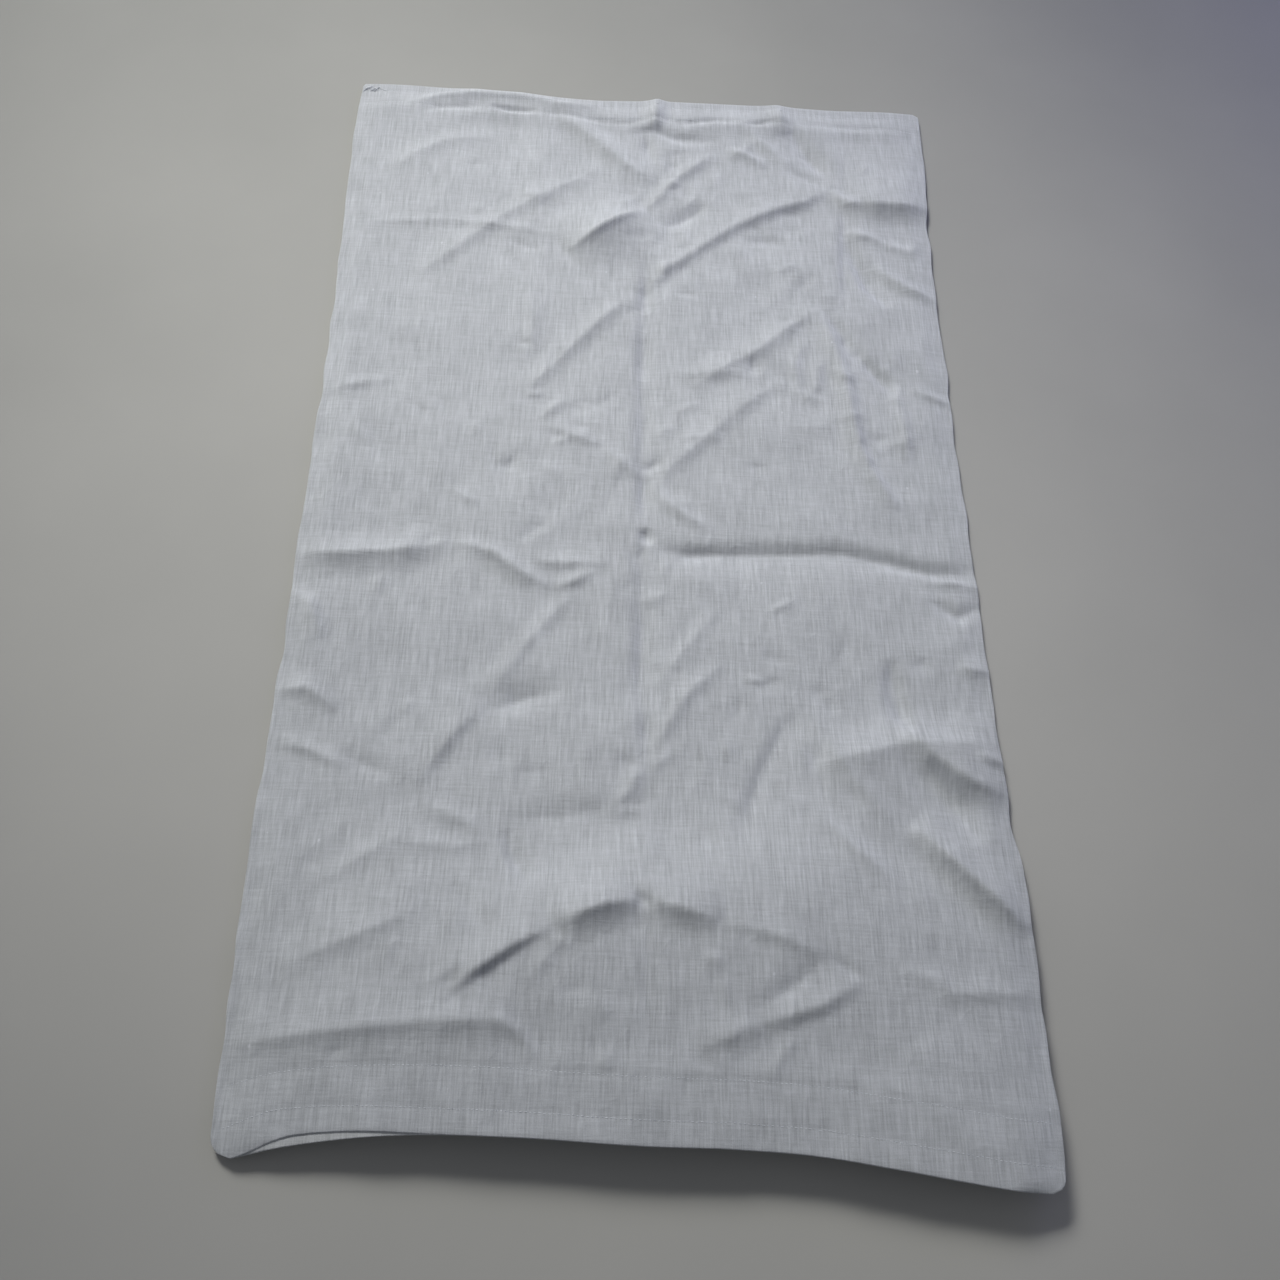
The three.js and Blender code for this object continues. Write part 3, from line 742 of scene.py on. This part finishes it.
class Nodes:
    """Short calls for building one material's node tree."""

    def __init__(self, name):
        self.material = bpy.data.materials.new(name)
        self.material.use_nodes = True
        self.tree = self.material.node_tree
        self.shader = self.tree.nodes["Principled BSDF"]
        self.place = self.add("ShaderNodeTexCoord").outputs["Object"]

    def add(self, kind, **values):
        node = self.tree.nodes.new(kind)
        for key, value in values.items():
            setattr(node, key, value)
        return node

    def link(self, source, target):
        self.tree.links.new(source, target)

    def noise(self, scale, detail=2.0, roughness=0.5):
        """Noise over the cloth; scale is a number of features per metre along X, Y and Z."""
        mapping = self.add("ShaderNodeMapping")
        mapping.inputs["Scale"].default_value = scale
        self.link(self.place, mapping.inputs["Vector"])
        texture = self.add("ShaderNodeTexNoise")
        texture.inputs["Scale"].default_value = 1.0
        texture.inputs["Detail"].default_value = detail
        texture.inputs["Roughness"].default_value = roughness
        self.link(mapping.outputs["Vector"], texture.inputs["Vector"])
        return texture.outputs["Fac"]

    def maths(self, operation, *values):
        """The result of a sum on numbers and on other nodes' outputs."""
        node = self.add("ShaderNodeMath", operation=operation)
        for socket, value in zip(node.inputs, values):
            if isinstance(value, (int, float)):
                socket.default_value = value
            else:
                self.link(value, socket)
        return node.outputs[0]

    def remap(self, value, low, high, to_low, to_high):
        """The value with one range stretched onto another, and cut off at its ends."""
        node = self.add("ShaderNodeMapRange")
        node.inputs["From Min"].default_value = low
        node.inputs["From Max"].default_value = high
        node.inputs["To Min"].default_value = to_low
        node.inputs["To Max"].default_value = to_high
        self.link(value, node.inputs["Value"])
        return node.outputs["Result"]

    def mix(self, share, first, second):
        """A colour that goes from the first to the second."""
        node = self.add("ShaderNodeMix", data_type="RGBA")
        node.inputs["A"].default_value = (*first, 1)
        node.inputs["B"].default_value = (*second, 1)
        self.link(share, node.inputs["Factor"])
        return node.outputs["Result"]


def linen(name, colour):
    """Plain-weave linen: slubby lengthwise yarns, fainter crosswise ones, matt with a soft sheen."""
    nodes = Nodes(name)
    yarns = [nodes.remap(nodes.noise(scale, detail), *noise_range, -strength, strength)
             for scale, detail, noise_range, strength in YARNS]
    weave = yarns[0]
    for yarn in yarns[1:]:
        weave = nodes.maths("ADD", weave, yarn)
    mottle = nodes.remap(nodes.noise((38, 38, 1), detail=3), 0.3, 0.7, -MOTTLE, MOTTLE)
    nub = nodes.remap(nodes.noise((260, 190, 1), detail=0), 0.865, 0.90, 0, NUB_TONE)
    tone = nodes.maths("ADD", nodes.maths("MULTIPLY", weave, WEAVE_CONTRAST), mottle)
    tone = nodes.maths("ADD", nodes.maths("ADD", tone, nub), 0.5)
    shade = nodes.mix(tone, [0.5 * c for c in colour], [1.5 * c for c in colour])
    nodes.link(shade, nodes.shader.inputs["Base Color"])
    bump = nodes.add("ShaderNodeBump")
    bump.inputs["Strength"].default_value = WEAVE_RELIEF
    bump.inputs["Distance"].default_value = WEAVE_DEPTH
    from_middle = nodes.maths("SUBTRACT", nodes.noise((62, 44, 1), detail=3), 0.5)
    wrinkle = nodes.remap(nodes.maths("ABSOLUTE", from_middle), 0, WRINKLE_WIDTH, WRINKLE_HEIGHT, 0)
    nodes.link(nodes.maths("ADD", weave, wrinkle), bump.inputs["Height"])
    nodes.link(bump.outputs["Normal"], nodes.shader.inputs["Normal"])
    nodes.link(nodes.remap(weave, -1, 1, 0.82, 0.98), nodes.shader.inputs["Roughness"])
    nodes.shader.inputs["Sheen Weight"].default_value = 0.4
    nodes.shader.inputs["Sheen Roughness"].default_value = 0.6
    nodes.shader.inputs["Sheen Tint"].default_value = (0.9, 0.93, 1.0, 1)
    nodes.shader.inputs["Specular IOR Level"].default_value = 0.25
    return nodes.material


def thread_material():
    """Twisted sewing thread, a little brighter and smoother than the cloth."""
    nodes = Nodes("sewing_thread")
    twist = nodes.noise((2500, 900, 900), detail=2)
    shade = nodes.mix(twist, (0.55, 0.575, 0.625), (0.72, 0.745, 0.79))
    nodes.link(shade, nodes.shader.inputs["Base Color"])
    nodes.shader.inputs["Roughness"].default_value = 0.6
    nodes.shader.inputs["Sheen Weight"].default_value = 0.2
    return nodes.material


def floor_material():
    """A smooth pale grey table top, faintly uneven, with painted light and shade: lighter near the
    camera and a little darker towards its far side.
    """
    nodes = Nodes("table_top")
    place = nodes.add("ShaderNodeSeparateXYZ")
    nodes.link(nodes.place, place.inputs[0])
    # painted light and shade: the table top is lighter on its near part and darker towards its far
    # side
    painted_light_falloff = nodes.remap(place.outputs["Y"], -0.2, 0.5, 0.8, 0)
    patches = nodes.remap(nodes.noise((6, 6, 6), detail=4), 0.3, 0.7, 0, 0.2)
    tone = nodes.maths("ADD", painted_light_falloff, patches)
    shade = nodes.mix(tone, (0.285, 0.285, 0.275), (0.415, 0.408, 0.395))
    nodes.link(shade, nodes.shader.inputs["Base Color"])
    nodes.shader.inputs["Roughness"].default_value = 0.7
    nodes.shader.inputs["Specular IOR Level"].default_value = 0.3
    return nodes.material


# ---------------------------------------------------------------- table, light and camera


TABLE_SIZE = 8          # in metres, as everything below
FULL_SPREAD = 180       # of a lamp's beam, in degrees


def build_table():
    bpy.ops.mesh.primitive_plane_add(size=TABLE_SIZE, location=(0, 0, TABLE * MM))
    table = bpy.context.object
    table.name = "table_top"
    table.data.materials.append(floor_material())


def area_light(name, place, target, size, power, colour, spread=FULL_SPREAD):
    """A square lamp; spread is the full angle of its beam in degrees."""
    light = bpy.data.lights.new(name, "AREA")
    light.shape = "SQUARE"
    light.size = size
    light.energy = power
    light.color = colour
    light.spread = math.radians(spread)
    lamp = bpy.data.objects.new(name, light)
    lamp.location = place
    aim = Vector(target) - Vector(place)
    lamp.rotation_euler = aim.to_track_quat("-Z", "Y").to_euler()
    bpy.context.scene.collection.objects.link(lamp)


def build_light():
    """A window behind and to the left, its beam fading towards the corners, and a faint blue sky."""
    area_light("window", place=(-0.80, 1.66, 1.45), target=(-0.12, 0.23, 0), size=1.0, power=4.5,
               colour=(1.0, 1.0, 0.95), spread=35)
    area_light("sky", place=(0.85, 0.75, 0.5), target=(0.12, 0.15, 0), size=0.6, power=1.9,
               colour=(0.48, 0.49, 1.0))
    world = bpy.data.worlds.new("room")
    world.use_nodes = True
    backdrop = world.node_tree.nodes["Background"]
    backdrop.inputs["Color"].default_value = (0.90, 0.94, 1.0, 1)
    backdrop.inputs["Strength"].default_value = 0.20
    bpy.context.scene.world = world
    bpy.context.scene.view_settings.view_transform = "Standard"


CAMERA_PLACE = Vector((-0.0452, -0.4465, 0.7375))
CAMERA_AIM = Vector((-0.0042, -0.0823, 0.0))
CAMERA_ROLL = math.radians(7.8)
LENS = 36               # in mm, over a sensor as wide: a phone's usual lens, cropped to a square
SENSOR = 36


def build_camera():
    camera = bpy.data.cameras.new("camera")
    camera.sensor_width = SENSOR
    camera.lens = LENS
    camera.clip_start = 0.01
    eye = bpy.data.objects.new("camera", camera)
    eye.location = CAMERA_PLACE
    turn = (CAMERA_AIM - CAMERA_PLACE).to_track_quat("-Z", "Y")
    roll = Quaternion((0, 0, 1), CAMERA_ROLL)
    eye.rotation_euler = (turn @ roll).to_euler()
    bpy.context.scene.collection.objects.link(eye)
    bpy.context.scene.camera = eye


# ---------------------------------------------------------------- the runner

build_camera()
build_light()
build_table()

THREAD_MATERIAL = thread_material()
face_sheet = build_face()
lining_sheet = build_lining()

needle_rows, bobbin_rows = [], []
for row_name, row_along in ROWS.items():
    needle, bobbin = f"{row_name}_needle", f"{row_name}_bobbin"
    needle_rows.append(stitch_row(f"{needle}_stitches", "face", row_along, f"{needle}_thread"))
    bobbin_rows.append(stitch_row(f"{bobbin}_stitches", "lining", row_along, f"{bobbin}_thread"))
seam("left_seam_stitches", SEAM_AT, -1, "left_seam_thread")
seam("right_seam_stitches", WIDTH - SEAM_AT, 1, "right_seam_thread")
corner_darn()
